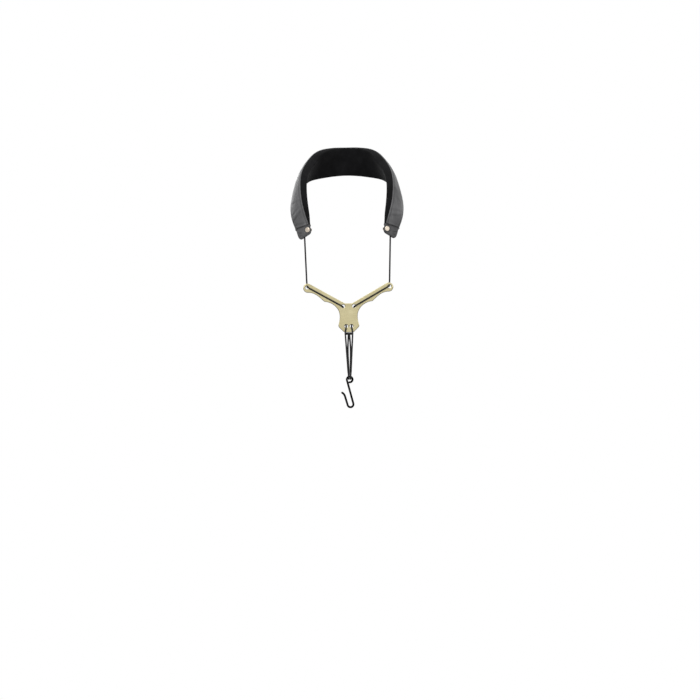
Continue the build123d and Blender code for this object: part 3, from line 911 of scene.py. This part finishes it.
def leather_fold_shade(section, across, index, count):
    """How much shade is painted into the leather's colour in its folds and along its seams, and how much
    highlight on its ridges.
    """
    to_seam = section.width / 2 - SEAM_INSET - abs(across)
    seam = 0.5 * bell(to_seam, 1.0 * MM) + 0.35 * bell(to_seam + SEAM_INSET, 1.6 * MM)
    return seam - crease_depth(across, index, count) / SHADED_DEPTH


def skin_depth(section, index, count):
    """How deep the pad's skin side lies below the section's middle."""
    pull = END_PULL * drawn_in(index, count)
    return section.thickness / 2 + (TAB_THICKNESS / 2 + END_STEP - section.thickness / 2) * pull


def lining_top(section, index, count):
    """How high the lining reaches under the leather's rolled edges."""
    seat = leather_height(section, ROLLED_AT * section.width / 2, index, count)
    return min(section.thickness / 2, seat + LINING_LIFT) - LEATHER


def leather_cover(sections):
    """The crowned outer leather, rolled under at both seams."""
    count = len(sections)
    rings, folds = [], []
    for index, section in enumerate(sections):
        half = section.width / 2
        ring = []
        for k in range(LEATHER_POINTS + 1):
            across = half * math.sin(math.pi / 2 * (2 * k / LEATHER_POINTS - 1))
            ring.append(section.point(across, leather_height(section, across, index, count)))
            folds.append(leather_fold_shade(section, across, index, count))
        low = lining_top(section, index, count) + 0.1 * MM
        ring.append(section.point(half + 0.1 * MM, low + 0.35 * MM))
        ring.append(section.point(half - 0.5 * MM, low))
        for share in (0.6, 0.0, -0.6):
            ring.append(section.point(half * share, low + CROWN * 0.8 * (1 - share**2)))
        ring.append(section.point(-half + 0.5 * MM, low))
        ring.append(section.point(-half - 0.1 * MM, low + 0.35 * MM))
        # the leather's underside, tucked under its rolled edges, gets an even painted shade
        folds += [0.4] * (len(ring) - LEATHER_POINTS - 1)
        rings.append(ring)
    piece = closed_loft("crowned_leather_cover", rings, leather)
    mark_fold_shade(piece, folds)
    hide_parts("band_leather")
    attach(piece, "neckband")


def padded_lining(sections):
    """The black lining, bulging at both edges and soft on the skin side."""
    rings = []
    count = len(sections)
    for index, section in enumerate(sections):
        half = section.width / 2
        top = lining_top(section, index, count)
        low = -skin_depth(section, index, count)
        height = top - low
        puff = noise.noise(Vector((index * 0.05, 0.3, 7.7))) * 0.25 * MM
        edge = []
        for k in range(LINING_EDGE_POINTS):
            turn = k / (LINING_EDGE_POINTS - 1)
            bulge = (LINING_BULGE + puff) * max(0.0, math.sin(math.pi * min(1.0, 1.15 * turn))) ** 0.8
            edge.append((half + bulge - 0.35 * MM * (1 - turn) ** 4, top - height * turn * 0.86))
        corner = [(half - 0.35 * MM, low + 0.08 * height), (half - 1.3 * MM, low + 0.02 * height)]
        outer = edge + corner
        under = []
        for k in range(1, SKIN_POINTS):
            across = (half - SKIN_INSET) * (1 - 2 * k / SKIN_POINTS)
            ripple = noise.noise(Vector((across * 70.0, index * 0.06, 1.7))) * 0.25 * MM
            cushion = CUSHION * (1 - (across / half) ** 2)
            under.append((across, low + 0.3 * MM - cushion + ripple * (1 - (across / half) ** 4)))
        other = [(-across, height_here) for across, height_here in reversed(outer)]
        tuck = top - 0.1 * MM
        inner = [(-half + LEATHER, tuck), (0.0, top + CROWN * 0.6), (half - LEATHER, tuck)]
        rings.append([section.point(*spot) for spot in outer + under + other + inner])
    piece = closed_loft("napped_lining", rings, lining)
    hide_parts("band_lining", "band_foam")
    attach(piece, "neckband")


# ---- stitches ----
def stitch_tree():
    """Geometry nodes that lay one short rounded stitch after another along a line."""
    tree = bpy.data.node_groups.new("seam_stitches", "GeometryNodeTree")
    kinds = {
        "Geometry": "Geometry",
        "Pitch": "Float",
        "Stitch Length": "Float",
        "Thread Radius": "Float",
        "Thread": "Material",
    }
    keys = {}
    for name, kind in kinds.items():
        socket = tree.interface.new_socket(name, in_out="INPUT", socket_type=f"NodeSocket{kind}")
        keys[name] = socket.identifier
    tree.interface.new_socket("Geometry", in_out="OUTPUT", socket_type="NodeSocketGeometry")
    new = tree.nodes.new
    given = new("NodeGroupInput")
    made = new("NodeGroupOutput")
    to_curve = new("GeometryNodeMeshToCurve")
    resample = new("GeometryNodeResampleCurve")
    resample.mode = "LENGTH"
    tangent = new("GeometryNodeInputTangent")
    align = new("FunctionNodeAlignRotationToVector")
    align.axis = "Z"
    ball = new("GeometryNodeMeshUVSphere")
    ball.inputs["Segments"].default_value = 8
    ball.inputs["Rings"].default_value = 6
    ball.inputs["Radius"].default_value = 1.0
    size = new("ShaderNodeCombineXYZ")
    half = new("ShaderNodeMath")
    half.operation = "MULTIPLY"
    half.inputs[1].default_value = 0.5
    shape = new("GeometryNodeTransform")
    instance = new("GeometryNodeInstanceOnPoints")
    realize = new("GeometryNodeRealizeInstances")
    paint = new("GeometryNodeSetMaterial")
    smooth = new("GeometryNodeSetShadeSmooth")
    for source, target in (
        (given.outputs["Geometry"], to_curve.inputs[0]),
        (to_curve.outputs[0], resample.inputs["Curve"]),
        (given.outputs["Pitch"], resample.inputs["Length"]),
        (given.outputs["Stitch Length"], half.inputs[0]),
        (given.outputs["Thread Radius"], size.inputs["X"]),
        (given.outputs["Thread Radius"], size.inputs["Y"]),
        (half.outputs[0], size.inputs["Z"]),
        (ball.outputs["Mesh"], shape.inputs["Geometry"]),
        (size.outputs[0], shape.inputs["Scale"]),
        (tangent.outputs[0], align.inputs["Vector"]),
        (resample.outputs[0], instance.inputs["Points"]),
        (shape.outputs["Geometry"], instance.inputs["Instance"]),
        (align.outputs["Rotation"], instance.inputs["Rotation"]),
        (instance.outputs["Instances"], realize.inputs["Geometry"]),
        (realize.outputs["Geometry"], smooth.inputs[0]),
        (smooth.outputs[0], paint.inputs["Geometry"]),
        (given.outputs["Thread"], paint.inputs["Material"]),
        (paint.outputs["Geometry"], made.inputs["Geometry"]),
    ):
        tree.links.new(source, target)
    return tree, keys


stitches, stitch_inputs = stitch_tree()


def stitch_row(name, points, pitch, length):
    """A plain mesh of stitches along a line of points."""
    guide = bpy.data.meshes.new(name)
    guide.from_pydata([tuple(p) for p in points], [(i, i + 1) for i in range(len(points) - 1)], [])
    row = bpy.data.objects.new(name, guide)
    bpy.context.collection.objects.link(row)
    modifier = row.modifiers.new("stitches", "NODES")
    modifier.node_group = stitches
    modifier[stitch_inputs["Pitch"]] = pitch
    modifier[stitch_inputs["Stitch Length"]] = length
    modifier[stitch_inputs["Thread Radius"]] = THREAD_RADIUS
    modifier[stitch_inputs["Thread"]] = thread
    view = bpy.context.evaluated_depsgraph_get()
    mesh = bpy.data.meshes.new_from_object(row.evaluated_get(view))
    row.modifiers.clear()
    row.data = mesh
    mesh.name = name
    return row


def band_seams(sections):
    """A row of stitches down each edge of the leather."""
    count = len(sections)
    for edge, label in ((1, "inner"), (-1, "outer")):
        points = []
        for index, section in enumerate(sections):
            across = edge * (section.width / 2 - SEAM_INSET)
            height = leather_height(section, across, index, count) + 0.1 * MM
            points.append(section.point(across, height))
        row = stitch_row(f"{label}_band_seam", points, STITCH_PITCH, STITCH_LENGTH)
        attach(row, "neckband")


sections = band_sections(SECTION_STEP)
leather_cover(sections)
padded_lining(sections)
band_seams(sections)


# ---- folded leather ends ----
class EndFrame:
    """The frame of one folded end: across to its inner edge, down the cord and outward."""

    def __init__(self, side):
        self.middle, self.down, outward, _, _ = left_station(*BAND_STATIONS[-1])
        self.outward = (outward - self.down * outward.dot(self.down)).normalized()
        self.across = self.outward.cross(self.down)
        for name in ("middle", "down", "outward", "across"):
            value = getattr(self, name)
            setattr(self, name, Vector((-SIDES[side] * value.x, value.y, value.z)))

    def point(self, across, down, outward):
        return self.middle + self.across * across + self.down * down + self.outward * outward


def smooth_outline(corners, steps):
    """A closed outline through its corners, rounded between them."""
    points = []
    count = len(corners)
    for i in range(count):
        p0, p1 = Vector(corners[i - 1]), Vector(corners[i])
        p2, p3 = Vector(corners[(i + 1) % count]), Vector(corners[(i + 2) % count])
        straight = i == count - 1
        for k in range(steps):
            t = k / steps
            if straight:
                points.append(p1.lerp(p2, t))
                continue
            bend = (2 * p0 - 5 * p1 + 4 * p2 - p3) * t * t
            turn = (3 * p1 - p0 - 3 * p2 + p3) * t**3
            points.append(0.5 * (2 * p1 + (p2 - p0) * t + bend + turn))
    return points


def tab_folds(across, down):
    """The dents of the folded end: a puckered ring round the rivet and two soft folds."""
    rivet_side, rivet_below = across - RIVET_ACROSS, down - RIVET_DOWN
    clear = math.hypot(rivet_side, rivet_below) - RIVET_REACH
    if clear < 0:
        return 0.0
    inward = across - FOLDS_START
    dents = 0.45 * MM * bell(clear - 0.8 * MM, 1.2 * MM)
    dents += 0.2 * MM * math.sin(9 * math.atan2(rivet_below, rivet_side)) * bell(clear - 2.2 * MM, 1.6 * MM)
    for depth, below, slant, reach in SOFT_FOLDS:
        dents += depth * bell(down - below - slant * inward, FOLD_WIDTH) * bell(inward, reach)
    return dents * min(1.0, clear / RIVET_EASE)


def tab_height(across, down, inset, face):
    """Half of the folded end's thickness at one place; inset runs from 0 at the edge to 1 inside."""
    rounded = TAB_THICKNESS / 2 * (1 - (1 - inset) ** 3.2) ** 0.42
    seam = -0.7 * MM * bell(down - TAB_SEAM, 0.8 * MM)
    clear = math.hypot(across - RIVET_ACROSS, down - RIVET_DOWN) - RIVET_REACH
    knot = 0.45 * MM * bell(math.hypot(across - EXIT_ACROSS, down - KNOT_DOWN), KNOT_RADIUS)
    soft = 0.22 * MM * noise.noise(Vector((across * 210, down * 210, face * 3.0)))
    fading = max(0.0, min(1.0, clear / RIVET_EASE))
    return rounded + seam + ((knot + soft) * fading - tab_folds(across, down)) * inset**0.5


def end_tab(side):
    """The leather end: two soft leaves folded round the knotted cord and pinched by the rivet."""
    ends = EndFrame(side)
    outline = [point * MM for point in smooth_outline(TAB_OUTLINE, OUTLINE_STEPS)]
    heart = Vector(TAB_HEART)
    count = len(outline)
    vertices, faces, folds = [], [], []
    for face in (1, -1):
        for share in TAB_SHARES:
            for spot in outline:
                here = spot.lerp(heart, share)
                inset = 1.0 if here.y < 0.2 * MM else min(1.0, share * 3.4)
                if spot.y < 0.6 * MM:
                    inset = max(inset, 0.8)
                height = tab_height(here.x, here.y, inset, face)
                vertices.append(ends.point(here.x, here.y, face * max(height, 0.25 * MM)))
                # painted shade: darker along the outline, in the cross seam's dent and in the dents round
                # the rivet and the soft folds
                edge = 0.4 * bell(share, 0.05) + 0.4 * bell(here.y - TAB_SEAM, 0.9 * MM)
                folds.append(edge + tab_folds(here.x, here.y) / (0.5 * MM))
        vertices.append(ends.point(heart.x, heart.y, face * tab_height(heart.x, heart.y, 1.0, face)))
        folds.append(0.0)
    block = len(TAB_SHARES) * count + 1
    for base in (0, block):
        for i in range(len(TAB_SHARES) - 1):
            faces += ring_quads(base + i * count, count)
        last = base + (len(TAB_SHARES) - 1) * count
        for k in range(count):
            faces.append((last + k, last + (k + 1) % count, base + block - 1))
    for k in range(count):
        following = (k + 1) % count
        faces.append((k, block + k, block + following, following))
    mesh = bpy.data.meshes.new(f"{side}_folded_end")
    mesh.from_pydata([tuple(v) for v in vertices], [], faces)
    mesh.validate()
    recalculate(mesh)
    piece = link(f"{side}_folded_end", mesh, end_leather)
    mark_fold_shade(piece, folds)
    smoother = piece.modifiers.new("smooth", "SUBSURF")
    smoother.levels = smoother.render_levels = 1
    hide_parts(f"{side}_end_tab")
    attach(piece, "neckband")


def cross_seam(side):
    """The row of stitches across the top of the folded end."""
    ends = EndFrame(side)
    reach = TAB_HALF - CROSS_INSET
    line = []
    for k in range(CROSS_PARTS + 1):
        across = -reach + 2 * reach * k / CROSS_PARTS
        height = tab_height(across, TAB_SEAM, 1.0, 1) + 0.12 * MM
        line.append(ends.point(across, TAB_SEAM, height))
    row = stitch_row(f"{side}_cross_seam", line, CROSS_PITCH, CROSS_LENGTH)
    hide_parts(f"{side}_end_stitch")
    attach(row, "neckband")


for side in SIDES:
    end_tab(side)
    cross_seam(side)


# ---- surroundings and light ----
BACKGROUND = 1.0
SURROUND = 0.36


def seen_directly(tree):
    """1 for what the camera sees and for what gloss and glass show of the surroundings."""
    path = tree.nodes.new("ShaderNodeLightPath")
    seen = path.outputs["Is Camera Ray"]
    for ray in ("Is Glossy Ray", "Is Transmission Ray"):
        either = tree.nodes.new("ShaderNodeMath")
        either.operation = "MAXIMUM"
        tree.links.new(seen, either.inputs[0])
        tree.links.new(path.outputs[ray], either.inputs[1])
        seen = either.outputs[0]
    return seen


def pale_world():
    """A white surround that lights the strap evenly and stands behind it as plain near-white."""
    world = bpy.data.worlds.new("pale_surround")
    world.use_nodes = True
    tree = world.node_tree
    background = tree.nodes["Background"]
    background.inputs["Color"].default_value = (1.0, 1.0, 1.0, 1.0)
    strength = tree.nodes.new("ShaderNodeMapRange")
    strength.inputs["To Min"].default_value = SURROUND
    strength.inputs["To Max"].default_value = BACKGROUND
    tree.links.new(seen_directly(tree), strength.inputs["Value"])
    tree.links.new(strength.outputs["Result"], background.inputs["Strength"])
    bpy.context.scene.world = world


def lamp(name, place_at, target, size, watts):
    """A soft square lamp that faces a point."""
    data = bpy.data.lights.new(name, "AREA")
    data.size = size
    data.energy = watts
    light = bpy.data.objects.new(name, data)
    light.location = place_at
    aim = Vector(target) - Vector(place_at)
    light.rotation_euler = aim.to_track_quat("-Z", "Y").to_euler()
    bpy.context.collection.objects.link(light)


pale_world()
middle = (0.0, PLATE_Y, -0.18)
lamp("key", (-1.1, -1.9, 0.9), middle, 1.2, 26.0)
lamp("fill", (1.5, -1.6, 0.1), middle, 1.4, 12.0)
lamp("top", (0.1, -0.1, 1.5), middle, 1.2, 12.0)
lamp("back", (-0.5, 1.7, 0.7), middle, 1.4, 12.0)
bpy.context.scene.view_settings.view_transform = "Standard"
